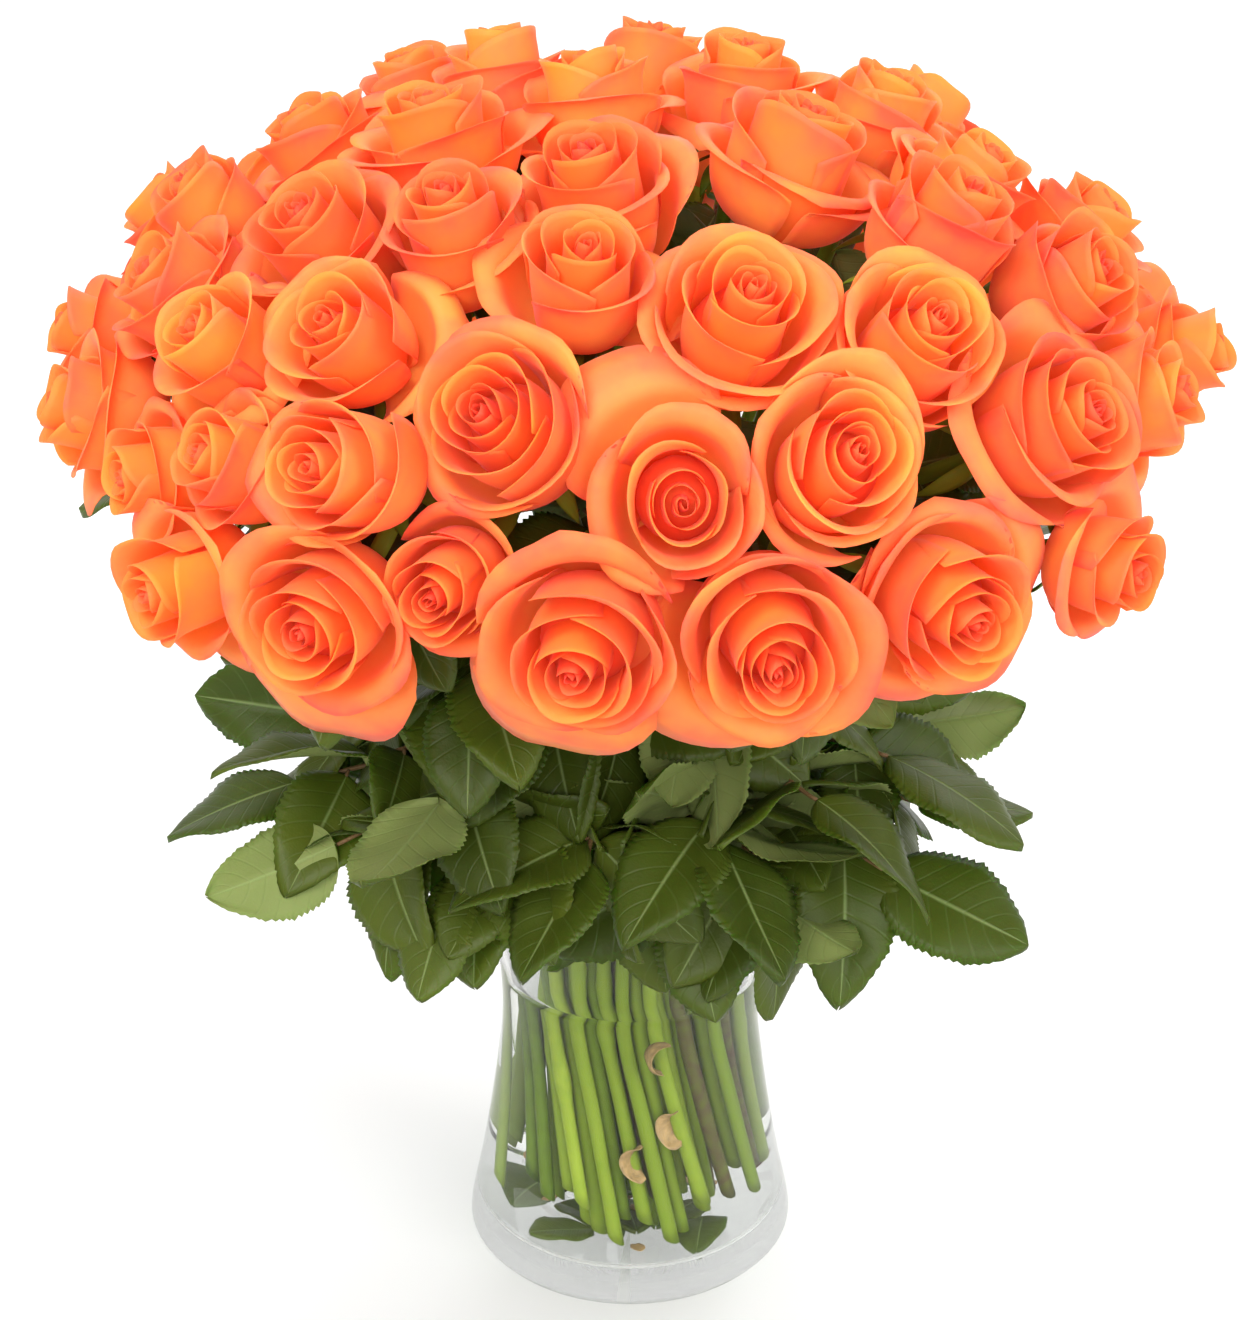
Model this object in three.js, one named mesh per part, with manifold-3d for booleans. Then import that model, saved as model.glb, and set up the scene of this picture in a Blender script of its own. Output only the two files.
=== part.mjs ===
// Roses in a waisted glass vase, in millimetres: +Z is up, -Y the front, and the origin the middle of its foot.
// Cut roses stand in water, pass the vase's waist as a loose bundle, and open above it into a dome of blooms.
// Sprays of rose leaves hang in a collar between the blooms and the vase's rim.
import * as THREE from 'three';
import { mergeVertices } from 'three/addons/utils/BufferGeometryUtils.js';
import Module from 'manifold-3d';

const wasm = await Module();
wasm.setup();

// Vase: outside radii at the foot, the waist and the rim
const VASE_HEIGHT = 180;
const FOOT_RADIUS = 66.5;
const WAIST_RADIUS = 51.5;
const RIM_RADIUS = 64;
const WAIST_BELOW_RIM = 65;
const HEEL_ROUNDING = 10;
const WALL = 3.6;
const GLASS_FLOOR = 15;
const FLOOR_ROUNDING = 9;
const WALL_CURVE = 1.5; // 1 is a straight cone each side of the waist, and more bends it

// Water
const WATER_BELOW_RIM = 53;
const WATER_GAP = 0.3;

// Dome that the blooms' crowns reach. Its middle is level with the lowest blooms.
const DOME_RADIUS = 217;
const DOME_RISE = 138;
const DOME_ABOVE_RIM = 176;
const FACING = 0.8; // 1 faces each bloom away from the dome's middle, and less faces it upwards

// Blooms
const LARGE = 54;
const MEDIUM = 47;
const SMALL = 40;
const BLOOM_SLENDERNESS = 0.88; // height over width
const BLOOM_GAP = 1;
const NECK_DIAMETER = 12; // green cup under a bloom
const LOWEST_TILT = 92;

// Stems
const STEM_DIAMETER = 5.6;
const STEM_GAP = 1.6; // between stems at the waist
const RISING_GAP = 3.5; // between stems as they rise to their blooms
const STEM_TO_WAIST = 8; // clear of the glass where the bundle is tightest
const STEM_TO_HEEL = 13; // clear of the glass at the cut ends
const STEM_TO_FLOOR = 3;
const STEM_END_SPREAD = 22; // how far the shortest stem ends above the longest
const STEM_TWIST = 24; // degrees that the bundle turns between the cut ends and the waist

// Leaves
const LEAFLET_LENGTH = 52;
const LEAFLET_WIDTH = 34;
const LEAF_THICKNESS = 1.2;
const RACHIS_DIAMETER = 2.6;
const LEAVES_ABOVE_RIM = 20;
const LEAVES_TO_STEMS = 14;

// Each rose: degrees round the dome from the front, degrees from straight up, width, and how far it sits in.
const ROSES = [
  [-5, 84, LARGE], [8, 86, LARGE], [-14, 74, SMALL, 18], [-28, 82, LARGE], [-47, 87, MEDIUM],
  [28, 81, LARGE], [50, 90, SMALL], [-51, 80, SMALL, 10], [-64, 77, MEDIUM], [22, 68, LARGE],
  [4, 64, MEDIUM], [-10, 62, LARGE], [-29, 66, MEDIUM], [-43, 72, SMALL, 8], [50, 75, LARGE],
  [62, 68, MEDIUM], [82, 73, MEDIUM], [-83, 70, SMALL], [5, 44, LARGE], [33, 55, LARGE],
  [-9, 50, MEDIUM], [-29, 42, MEDIUM], [-33, 56, MEDIUM], [-48, 60, MEDIUM], [-62, 55, MEDIUM],
  [-47, 40, LARGE], [49, 45, MEDIUM], [64, 55, MEDIUM], [86, 54, MEDIUM], [-80, 48, MEDIUM],
  [-12, 26, LARGE], [-60, 4, MEDIUM], [48, 21, LARGE], [-62, 26, LARGE], [-92, 34, MEDIUM],
  [-125, 30, MEDIUM], [-120, 15, MEDIUM], [175, 20, MEDIUM], [125, 15, MEDIUM], [98, 27, MEDIUM],
  [122, 38, MEDIUM], [74, 36, MEDIUM], [-102, 57, LARGE], [-108, 80, MEDIUM], [-130, 66, LARGE],
  [-154, 42, LARGE], [-158, 78, LARGE], [170, 58, LARGE], [158, 36, MEDIUM], [150, 79, LARGE],
  [132, 62, LARGE], [108, 77, LARGE],
].map(([azimuth, tilt, width, sunk = 0]) => ({ azimuth, tilt, width, sunk }));

// Each leaf spray: degrees round from the front, reach from the axis, and how far its end is above its root.
const SPRAYS = [
  { azimuth: -78, reach: 186, rise: 36 },
  { azimuth: -40, reach: 160, rise: 14 },
  { azimuth: -4, reach: 118, rise: -12 },
  { azimuth: 34, reach: 150, rise: 6 },
  { azimuth: 74, reach: 172, rise: 28 },
  { azimuth: 178, reach: 160, rise: 16 },
];

// Mesh detail
const VASE_SIDES = 32;
const BLOOM_SIDES = 8;
const STEM_SIDES = 5;
const STEM_STEPS = 8;
const STEM_BENDS = 5;
const RACHIS_SIDES = 4;
const RACHIS_STEPS = 4;
const WALL_STEPS = 7;
const ARC_STEPS = 3;
const SETTLE_ROUNDS = 4000;

const WAIST_HEIGHT = VASE_HEIGHT - WAIST_BELOW_RIM;
const WATER_LEVEL = VASE_HEIGHT - WATER_BELOW_RIM;
const DOME_MIDDLE = VASE_HEIGHT + DOME_ABOVE_RIM;
const STEM_RADIUS = STEM_DIAMETER / 2;
const UP = new THREE.Vector3(0, 0, 1);
const MIDDLE = new THREE.Vector2();
const { degToRad, radToDeg, lerp } = THREE.MathUtils;

const GLASS = { color: 0xe8f1ee, roughness: 0.03, metalness: 0, transparent: true, opacity: 0.3 };
const WATER = { color: 0xdfeeea, roughness: 0.02, metalness: 0, transparent: true, opacity: 0.35 };
const PETAL = { color: 0xf9803f, roughness: 0.55, metalness: 0 };
const LEAF = { color: 0x3b5a2b, roughness: 0.42, metalness: 0 };

// ---- Solids ----

// A closed three.js geometry as a manifold solid.
function solid(geometry) {
  const bare = geometry.clone();
  bare.deleteAttribute('normal');
  bare.deleteAttribute('uv');
  const merged = mergeVertices(bare, 1e-4);
  return new wasm.Manifold(new wasm.Mesh({
    numProp: 3,
    vertProperties: new Float32Array(merged.attributes.position.array),
    triVerts: new Uint32Array(merged.index.array),
  }));
}

// A manifold solid as a named mesh with its own material.
function mesh(name, body, look) {
  const { vertProperties, triVerts } = body.getMesh();
  const geometry = new THREE.BufferGeometry();
  geometry.setAttribute('position', new THREE.BufferAttribute(vertProperties, 3));
  geometry.setIndex(new THREE.BufferAttribute(triVerts, 1));
  geometry.computeVertexNormals();
  const made = new THREE.Mesh(geometry, new THREE.MeshStandardMaterial(look));
  made.name = name;
  return made;
}

// A solid of revolution about +Z from [radius, height] points, listed upwards on the outside.
function turned(profile, sides) {
  const lathe = new THREE.LatheGeometry(profile.map(([r, z]) => new THREE.Vector2(r, z)), sides);
  return lathe.rotateX(Math.PI / 2);
}

// A round bar along a curve.
function bar(path, radius, sides, steps) {
  const corner = (_, k) => new THREE.Vector2(radius, 0).rotateAround(MIDDLE, (2 * Math.PI * k) / sides);
  const section = new THREE.Shape(Array.from({ length: sides }, corner));
  return new THREE.ExtrudeGeometry(section, { steps, bevelEnabled: false, extrudePath: path });
}

// Points on a quarter-like arc about a middle, in degrees from the radial direction.
function arc(middleRadius, middleHeight, radius, from, to) {
  return Array.from({ length: ARC_STEPS + 1 }, (_, k) => {
    const angle = degToRad(lerp(from, to, k / ARC_STEPS));
    return [middleRadius + radius * Math.cos(angle), middleHeight + radius * Math.sin(angle)];
  });
}

// A point at an angle round the vase, measured from the front towards +X.
function around(azimuth, radius, height) {
  const angle = degToRad(azimuth);
  return new THREE.Vector3(radius * Math.sin(angle), -radius * Math.cos(angle), height);
}

// Pushes points apart until every two keep their distance. hold puts a point back where it may be.
function settle(points, distance, hold) {
  for (let round = 0; round < SETTLE_ROUNDS; round += 1) {
    let worst = 0;
    points.forEach((a, i) => points.slice(0, i).forEach((b, j) => {
      const short = distance(i, j) - a.distanceTo(b);
      if (short <= 0) return;
      const push = a.clone().sub(b).setLength(short / 2);
      a.add(push);
      b.sub(push);
      worst = Math.max(worst, short);
    }));
    points.forEach(hold);
    if (worst < 0.01) return;
  }
}

// ---- Vase and water ----

// Outside radius of the wall: a narrowing from the foot up to the waist, and a flare from there to the rim.
function wallRadius(height) {
  const [end, span] = height < WAIST_HEIGHT
    ? [FOOT_RADIUS, WAIST_HEIGHT - HEEL_ROUNDING]
    : [RIM_RADIUS, WAIST_BELOW_RIM];
  const share = Math.abs(height - WAIST_HEIGHT) / span;
  return WAIST_RADIUS + (end - WAIST_RADIUS) * share ** WALL_CURVE;
}

// Points up the wall between two heights, set in from its outside.
function wallPoints(from, to, inset) {
  return Array.from({ length: WALL_STEPS + 1 }, (_, k) => {
    const height = lerp(from, to, k / WALL_STEPS);
    return [wallRadius(height) - inset, height];
  });
}

// The hollow of the vase up to a height, kept a gap inside the glass: floor, rounded corner and wall.
function hollowPoints(top, gap) {
  const inset = WALL + gap;
  const bend = FLOOR_ROUNDING - gap;
  const cornerHeight = GLASS_FLOOR + FLOOR_ROUNDING;
  const cornerRadius = wallRadius(cornerHeight) - inset - bend;
  const corner = arc(cornerRadius, cornerHeight, bend, -90, 0);
  return [[0, GLASS_FLOOR + gap], ...corner, ...wallPoints(cornerHeight, top, inset).slice(1)];
}

function vase() {
  const lip = WALL / 2;
  const lipHeight = VASE_HEIGHT - lip;
  const heel = arc(FOOT_RADIUS - HEEL_ROUNDING, HEEL_ROUNDING, HEEL_ROUNDING, -90, 0);
  const outside = [[0, 0], ...heel, ...wallPoints(HEEL_ROUNDING, lipHeight, 0).slice(1)];
  const rim = arc(wallRadius(lipHeight) - lip, lipHeight, lip, 0, 180).slice(1, -1);
  const inside = hollowPoints(lipHeight, 0).reverse();
  return mesh('vase', solid(turned([...outside, ...rim, ...inside], VASE_SIDES)), GLASS);
}

// The water fills the hollow up to its level and closes round every stem.
function water(stems) {
  const fill = solid(turned([...hollowPoints(WATER_LEVEL, WATER_GAP), [0, WATER_LEVEL]], VASE_SIDES));
  const wet = stems.reduce((left, stem) => left.subtract(stemBar(stem, WATER_GAP)), fill);
  return mesh('water', wet, WATER);
}

// ---- Roses ----

// How far a bloom's middle lies inside the dome.
function heartDepth({ width, sunk }) {
  return sunk + (width * BLOOM_SLENDERNESS) / 2;
}

// The middle of a bloom. Its tilt is the ellipse's own angle, because the dome is wider than it is high.
function heartAt(rose, azimuth, tilt) {
  const depth = heartDepth(rose);
  const angle = degToRad(tilt);
  const height = DOME_MIDDLE + (DOME_RISE - depth) * Math.cos(angle);
  return around(azimuth, (DOME_RADIUS - depth) * Math.sin(angle), height);
}

// The azimuth and tilt at which a point lies on the bloom's own level of the dome.
function domeAngles(rose, point) {
  const depth = heartDepth(rose);
  const out = Math.hypot(point.x, point.y) / (DOME_RADIUS - depth);
  const rise = (point.z - DOME_MIDDLE) / (DOME_RISE - depth);
  return [radToDeg(Math.atan2(point.x, -point.y)), Math.min(radToDeg(Math.atan2(out, rise)), LOWEST_TILT)];
}

// Every bloom's middle, pushed apart until no two blooms touch.
function settledHearts() {
  const hearts = ROSES.map((rose) => heartAt(rose, rose.azimuth, rose.tilt));
  const distance = (i, j) => (ROSES[i].width + ROSES[j].width) / 2 + BLOOM_GAP;
  settle(hearts, distance, (heart, i) => heart.copy(heartAt(ROSES[i], ...domeAngles(ROSES[i], heart))));
  return hearts;
}

// The way a bloom faces: outwards from the dome and somewhat upwards.
function facing(rose, heart) {
  const [azimuth, tilt] = domeAngles(rose, heart);
  const lean = Math.atan2(FACING * Math.sin(degToRad(tilt)), Math.cos(degToRad(tilt)));
  return around(azimuth, Math.sin(lean), Math.cos(lean));
}

// Where the stems pass the waist, in a disc of radius 1, in the blooms' own order round and outwards.
function stemPattern(hearts, spacing) {
  const reaches = hearts.map((heart) => Math.hypot(heart.x, heart.y));
  const ranks = reaches.map((reach) => reaches.filter((other) => other < reach).length);
  const pattern = hearts.map((heart, i) => {
    const radius = Math.sqrt((ranks[i] + 0.5) / hearts.length);
    return new THREE.Vector2(heart.x, heart.y).setLength(radius);
  });
  settle(pattern, () => spacing, (point) => point.clampLength(0, 1));
  return pattern;
}

// How far from the vase's axis the outermost stems stand at a height, clear of the glass.
function bundleReach(height, clearance) {
  return wallRadius(height) - WALL - clearance - STEM_RADIUS;
}

// Points along a stem: straight from its cut end through the waist, then curving out to its bloom.
function stemPoints(place, { heart, face, height }, index) {
  const longest = GLASS_FLOOR + STEM_TO_FLOOR + STEM_RADIUS;
  const cut = longest + (STEM_END_SPREAD * ((index * 7) % 10)) / 10;
  const standing = (spot, reach, level) => new THREE.Vector3(spot.x * reach, spot.y * reach, level);
  const turnedBack = place.clone().rotateAround(MIDDLE, degToRad(STEM_TWIST));
  const foot = standing(turnedBack, bundleReach(longest, STEM_TO_HEEL), cut);
  const waist = standing(place, bundleReach(WAIST_HEIGHT, STEM_TO_WAIST), WAIST_HEIGHT);
  const base = heart.clone().addScaledVector(face, -height / 2);
  const span = base.distanceTo(waist);
  const bend = new THREE.CubicBezierCurve3(
    waist,
    waist.clone().addScaledVector(UP, span * 0.4),
    base.clone().addScaledVector(face, -span * 0.35),
    base,
  );
  return [foot, foot.clone().lerp(waist, 0.5), ...bend.getPoints(STEM_BENDS)];
}

// The stems' courses. Where they rise side by side they are eased apart, as real stems push past each other.
function stemCourses(pattern, blooms) {
  const stems = pattern.map((place, i) => stemPoints(place, blooms[i], i));
  const lastFree = stems[0].length - 2;
  for (let k = lastFree - STEM_BENDS + 2; k <= lastFree; k += 1) {
    settle(stems.map((points) => points[k]), () => STEM_DIAMETER + RISING_GAP, () => {});
  }
  return stems.map((points) => new THREE.CatmullRomCurve3(points));
}

// A stem as a solid, or the space it needs in the water with a gap all round.
function stemBar({ course }, gap) {
  const flat = Math.cos(Math.PI / STEM_SIDES);
  const radius = STEM_RADIUS + gap / flat;
  const grown = solid(bar(course, radius, STEM_SIDES, STEM_STEPS));
  if (gap === 0) return grown;
  const foot = course.getPointAt(0);
  const back = course.getTangentAt(0).multiplyScalar(-2 * gap);
  return grown.add(solid(bar(new THREE.LineCurve3(foot.clone().add(back), foot), radius, STEM_SIDES, 1)));
}

// A bloom as a plain goblet: green cup, full shoulders and a closed crown, standing on the end of its stem.
function goblet({ heart, face, width, height }) {
  const profile = [
    [0, 0], [NECK_DIAMETER / 2, 0], [width * 0.36, height * 0.3], [width * 0.5, height * 0.66],
    [width * 0.42, height * 0.9], [0, height],
  ];
  const turn = new THREE.Quaternion().setFromUnitVectors(UP, face);
  return turned(profile, BLOOM_SIDES)
    .translate(0, 0, -height / 2)
    .applyQuaternion(turn)
    .translate(heart.x, heart.y, heart.z);
}

// Every rose: where its bloom is, how it faces and the course of its stem.
function grownRoses() {
  const hearts = settledHearts();
  const spacing = (STEM_DIAMETER + STEM_GAP) / bundleReach(WAIST_HEIGHT, STEM_TO_WAIST);
  const blooms = ROSES.map((rose, i) => ({
    heart: hearts[i],
    face: facing(rose, hearts[i]),
    width: rose.width,
    height: rose.width * BLOOM_SLENDERNESS,
  }));
  const courses = stemCourses(stemPattern(hearts, spacing), blooms);
  return blooms.map((bloom, i) => ({ ...bloom, course: courses[i] }));
}

function numbered(name, index) {
  return `${name}_${String(index + 1).padStart(2, '0')}`;
}

function roseMesh(rose, index) {
  return mesh(numbered('rose', index), solid(goblet(rose)).add(stemBar(rose, 0)), PETAL);
}

// ---- Leaves ----

// One leaflet along +X, arched down towards its tip and folded up along its midrib.
function leaflet(length, width) {
  const outline = new THREE.Shape()
    .moveTo(0, 0)
    .bezierCurveTo(length * 0.2, width * 0.62, length * 0.65, width * 0.62, length, 0)
    .bezierCurveTo(length * 0.65, -width * 0.62, length * 0.2, -width * 0.62, 0, 0);
  const flat = { depth: LEAF_THICKNESS, bevelEnabled: false, curveSegments: 3 };
  const blade = new THREE.ExtrudeGeometry(outline, flat).translate(-RACHIS_DIAMETER, 0, 0);
  const at = blade.attributes.position;
  for (let k = 0; k < at.count; k += 1) {
    const arch = length * 0.18 * (at.getX(k) / length) ** 2;
    at.setZ(k, at.getZ(k) - LEAF_THICKNESS / 2 - arch + Math.abs(at.getY(k)) * 0.12);
  }
  return blade;
}

// A compound rose leaf: a thin stalk with pairs of leaflets and one at its tip.
function spray({ azimuth, reach, rise }, index) {
  const root = bundleReach(WAIST_HEIGHT, STEM_TO_WAIST) + STEM_RADIUS + LEAVES_TO_STEMS;
  const rootHeight = VASE_HEIGHT + LEAVES_ABOVE_RIM;
  const end = reach - LEAFLET_LENGTH;
  const stalk = new THREE.QuadraticBezierCurve3(
    new THREE.Vector3(root, 0, rootHeight),
    new THREE.Vector3(lerp(root, end, 0.55), 0, rootHeight + Math.max(rise, 0) + 12),
    new THREE.Vector3(end, 0, rootHeight + rise),
  );
  const place = (t, turn, size) => {
    const along = stalk.getTangentAt(t);
    const pitch = Math.atan2(along.z, along.x);
    const point = stalk.getPointAt(t);
    return leaflet(LEAFLET_LENGTH * size, LEAFLET_WIDTH * size)
      .rotateZ(degToRad(turn))
      .rotateY(-pitch)
      .translate(point.x, point.y, point.z);
  };
  const pair = (t, turn, size) => [place(t, turn, size), place(t, -turn, size)];
  const blades = [place(1, 0, 1), ...pair(0.8, 62, 0.95), ...pair(0.4, 62, 0.8)];
  const stalkBar = solid(bar(stalk, RACHIS_DIAMETER / 2, RACHIS_SIDES, RACHIS_STEPS));
  const body = blades.reduce((joined, blade) => joined.add(solid(blade)), stalkBar);
  const made = mesh(numbered('leaf_spray', index), body, LEAF);
  made.rotation.z = degToRad(azimuth - 90);
  return made;
}

const bouquet = new THREE.Group();
const roses = grownRoses();
bouquet.add(vase(), water(roses), ...roses.map(roseMesh), ...SPRAYS.map(spray));

export default bouquet;
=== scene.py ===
# %% [markdown]
# # Roses in a glass vase
# This lesson builds the looks of a bouquet: orange roses standing in water in a waisted glass vase, with
# a collar of leaves. The design model, called the frame, already says where every rose, stem and leaf
# spray is. Each step measures a plain solid of the frame and grows the real surface in its place: thin
# petals, ribbed leaves, a wet stem.

# %% Load the frame
import math

import bmesh
import bpy
import numpy as np
from mathutils import Matrix, Vector


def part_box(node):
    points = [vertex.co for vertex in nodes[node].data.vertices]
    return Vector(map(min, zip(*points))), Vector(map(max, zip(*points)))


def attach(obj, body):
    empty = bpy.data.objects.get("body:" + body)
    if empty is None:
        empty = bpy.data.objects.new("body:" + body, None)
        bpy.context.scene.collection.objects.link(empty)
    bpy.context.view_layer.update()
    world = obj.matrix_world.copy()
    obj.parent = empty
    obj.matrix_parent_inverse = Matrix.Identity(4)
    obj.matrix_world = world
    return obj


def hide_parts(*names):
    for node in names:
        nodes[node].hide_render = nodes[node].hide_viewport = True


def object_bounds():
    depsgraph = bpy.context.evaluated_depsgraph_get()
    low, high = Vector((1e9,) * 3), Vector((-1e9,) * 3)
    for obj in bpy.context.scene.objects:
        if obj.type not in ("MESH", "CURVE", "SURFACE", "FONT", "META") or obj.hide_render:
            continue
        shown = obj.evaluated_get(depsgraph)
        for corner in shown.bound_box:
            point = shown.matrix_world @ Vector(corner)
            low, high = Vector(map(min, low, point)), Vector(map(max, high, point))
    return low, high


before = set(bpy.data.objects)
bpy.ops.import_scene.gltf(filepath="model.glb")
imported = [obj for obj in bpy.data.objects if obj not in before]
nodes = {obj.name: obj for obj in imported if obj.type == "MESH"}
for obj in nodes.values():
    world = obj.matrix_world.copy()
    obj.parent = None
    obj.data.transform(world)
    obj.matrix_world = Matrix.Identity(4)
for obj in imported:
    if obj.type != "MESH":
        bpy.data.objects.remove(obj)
cad_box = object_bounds()
print("nodes:", len(nodes), "box:", [tuple(round(x, 4) for x in corner) for corner in cad_box])

# %% [markdown]
# ## Helpers for materials
# A material is a small graph of nodes. Writing each node out takes four or five lines, so a few short
# helpers make a node, a sum, a mix of two colours or a colour ramp in one line each. They keep the
# recipes below short enough to read as recipes. They come first because the sky is already made with
# them.

# %% Helper for objects
def shown(name, data):
    """A new object that shows its data in the scene."""
    made = bpy.data.objects.new(name, data)
    bpy.context.scene.collection.objects.link(made)
    return made


# %% Helpers for node trees
def group(name, inputs, outputs):
    """A shader node group and its input and output nodes. Sockets are name: (kind, default)."""
    tree = bpy.data.node_groups.new(name, "ShaderNodeTree")
    for label, (kind, value) in inputs.items():
        socket = tree.interface.new_socket(label, in_out="INPUT", socket_type=kind)
        socket.default_value = value
    for label, kind in outputs.items():
        tree.interface.new_socket(label, in_out="OUTPUT", socket_type=kind)
    return tree, tree.nodes.new("NodeGroupInput"), tree.nodes.new("NodeGroupOutput")


def feed(tree, socket, value):
    """Links an input to another node's output, or sets it to a value."""
    if isinstance(value, bpy.types.NodeSocket):
        tree.links.new(value, socket)
    else:
        socket.default_value = value


def node(tree, kind, links=None, **settings):
    """A node with its settings, and with inputs given as a value or as another node's output."""
    made = tree.nodes.new(kind)
    for label, value in settings.items():
        setattr(made, label, value)
    for label, value in (links or {}).items():
        feed(tree, made.inputs[label], value)
    return made


def maths(tree, operation, *values):
    """The result of a sum on values or outputs."""
    return node(tree, "ShaderNodeMath", dict(enumerate(values)), operation=operation).outputs[0]


def times(tree, first, second):
    """Two values multiplied."""
    return maths(tree, "MULTIPLY", first, second)


def mapped(tree, value, low, high, start, end):
    """A value from low to high turned into one from start to end."""
    return node(tree, "ShaderNodeMapRange", {"Value": value, "From Min": low, "From Max": high,
                                             "To Min": start, "To Max": end}).outputs[0]


def blend(tree, share, first, second):
    """Two colours mixed by a share."""
    mix = node(tree, "ShaderNodeMix", data_type="RGBA")
    for label, value in (("Factor", share), ("A", first), ("B", second)):
        feed(tree, next(s for s in mix.inputs if s.name == label and s.enabled), value)
    return next(s for s in mix.outputs if s.enabled)


def use(tree, made_group, **inputs):
    """Places a group in a tree. Input names take _ for a space."""
    placed = node(tree, "ShaderNodeGroup", node_tree=made_group)
    for label, value in inputs.items():
        feed(tree, placed.inputs[label.replace("_", " ")], value)
    return placed.outputs


def ramp(tree, value, *stops):
    """A colour ramp from (place, colour) stops."""
    made = node(tree, "ShaderNodeValToRGB", {"Fac": value})
    while len(made.color_ramp.elements) < len(stops):
        made.color_ramp.elements.new(0.5)
    for element, (place, colour) in zip(made.color_ramp.elements, stops):
        element.position = place
        element.color = (*colour, 1)
    return made.outputs["Color"]


# %% Helpers for whole materials
def principled(name):
    """A new material and its Principled node."""
    material = bpy.data.materials.new(name)
    material.use_nodes = True
    return material, material.node_tree.nodes["Principled BSDF"]


def show_mixed(tree, share, shader, kind, colour):
    """Shows a material's shader with a share of a second kind of shader in that colour."""
    second = node(tree, kind, {"Color": colour})
    mixed = node(tree, "ShaderNodeMixShader", {0: share, 1: shader.outputs[0], 2: second.outputs[0]})
    tree.links.new(mixed.outputs[0], tree.nodes["Material Output"].inputs["Surface"])


def raise_surface(tree, shader, height, strength, distance):
    """Lets a height, in shares of a distance in metres, tilt the light on a surface."""
    bump = node(tree, "ShaderNodeBump", {"Height": height, "Strength": strength, "Distance": distance})
    tree.links.new(bump.outputs[0], shader.inputs["Normal"])


def settle(shader, settings):
    """Sets numbers and colours that are the same all over a surface on the shader's own sockets."""
    for label, value in settings.items():
        shader.inputs[label].default_value = value


# %% [markdown]
# ## Camera, floor and light
# A bouquet for sale is shown on white, from a little above, in light so soft that only the touch of the
# vase on the table darkens it. One large soft lamp from the upper left models the petals, a white sky
# fills the rest, and a pale floor takes the faint shadow. The two lamps in front leave the floor out, or
# it would be too bright to show that shadow. A long lens keeps the dome from looking swollen.

# %% Camera
VIEW_TILT = math.radians(25.2)
VIEW_DISTANCE = 1.073
LENS = 76.3
TARGET_SHARE = 0.525  # of the whole height

whole_height = cad_box[1][2]
target = Vector((0, 0, TARGET_SHARE * whole_height))
camera_data = bpy.data.cameras.new("camera")
camera_data.lens = LENS
camera = shown("camera", camera_data)
camera.location = target + VIEW_DISTANCE * Vector((0, -math.cos(VIEW_TILT), math.sin(VIEW_TILT)))
camera.rotation_euler = (math.pi / 2 - VIEW_TILT, 0, 0)
bpy.context.scene.camera = camera
print("camera at", tuple(round(x, 3) for x in camera.location))


# %% Soft lamps
def soft_lamp(name, place, size, power, warmth=1.0):
    """A square lamp of that size, in metres, aimed at the bouquet."""
    data = bpy.data.lights.new(name, "AREA")
    data.size = size
    data.energy = power
    data.color = (1.0, 0.5 + warmth / 2, warmth)
    lamp = shown(name, data)
    lamp.location = place
    lamp.rotation_euler = (target - Vector(place)).to_track_quat("-Z", "Y").to_euler()
    lamp.visible_transmission = False
    return lamp


key_lamp = soft_lamp("key_lamp", (-0.9, -1.3, 1.9), 1.2, 38, 0.97)
soft_lamp("fill_lamp", (1.6, -1.2, 1.0), 1.4, 26)
front_lamp = soft_lamp("front_lamp", (-0.2, -2.4, 1.2), 1.6, 42)
soft_lamp("back_lamp", (0.5, 1.6, 1.7), 1.2, 18)
print("lamps:", len(bpy.data.lights))

# %% White sky
SKY_IN_FRONT = 0.3  # strength of the sky that the front of the glass mirrors
SKY_ABOVE = 1.15
world = bpy.data.worlds.new("white_sky")
bpy.context.scene.world = world
world.use_nodes = True
sky_tree = world.node_tree
sky = sky_tree.nodes["Background"]
sky.inputs["Color"].default_value = (1, 1, 1, 1)
way = node(sky_tree, "ShaderNodeTexCoord").outputs["Generated"]
towards = node(sky_tree, "ShaderNodeSeparateXYZ", {0: way})
backwards, upwards = (mapped(sky_tree, towards.outputs[axis], low, high, SKY_IN_FRONT, SKY_ABOVE)
                      for axis, low, high in ((1, -0.25, 0.45), (2, 0.1, 0.55)))
brightest = maths(sky_tree, "MAXIMUM", backwards, upwards)
seen = node(sky_tree, "ShaderNodeLightPath").outputs["Is Camera Ray"]
sky_tree.links.new(maths(sky_tree, "MAXIMUM", brightest, seen), sky.inputs["Strength"])
bpy.context.scene.view_settings.view_transform = "Standard"
print("sky from", SKY_IN_FRONT, "in front to", SKY_ABOVE, "above and behind")

# %% Pale floor
FLOOR_SIZE = 12.0
floor_mesh = bpy.data.meshes.new("floor")
edge = FLOOR_SIZE / 2
floor_corners = [(-edge, -edge, 0), (edge, -edge, 0), (edge, edge, 0), (-edge, edge, 0)]
floor_mesh.from_pydata(floor_corners, [], [(0, 1, 2, 3)])
floor = shown("floor", floor_mesh)
floor_material, floor_shader = principled("pale_floor")
settle(floor_shader, {"Base Color": (0.93, 0.93, 0.93, 1), "Roughness": 0.8, "Specular IOR Level": 0.1})
floor_mesh.materials.append(floor_material)
unlit = bpy.data.collections.new("floor_unlit_by_the_front_lamps")
unlit.objects.link(floor)
unlit.collection_objects[0].light_linking.link_state = "EXCLUDE"
for lamp in (key_lamp, front_lamp):
    lamp.light_linking.receiver_collection = unlit
print("floor:", FLOOR_SIZE, "m square")

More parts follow.
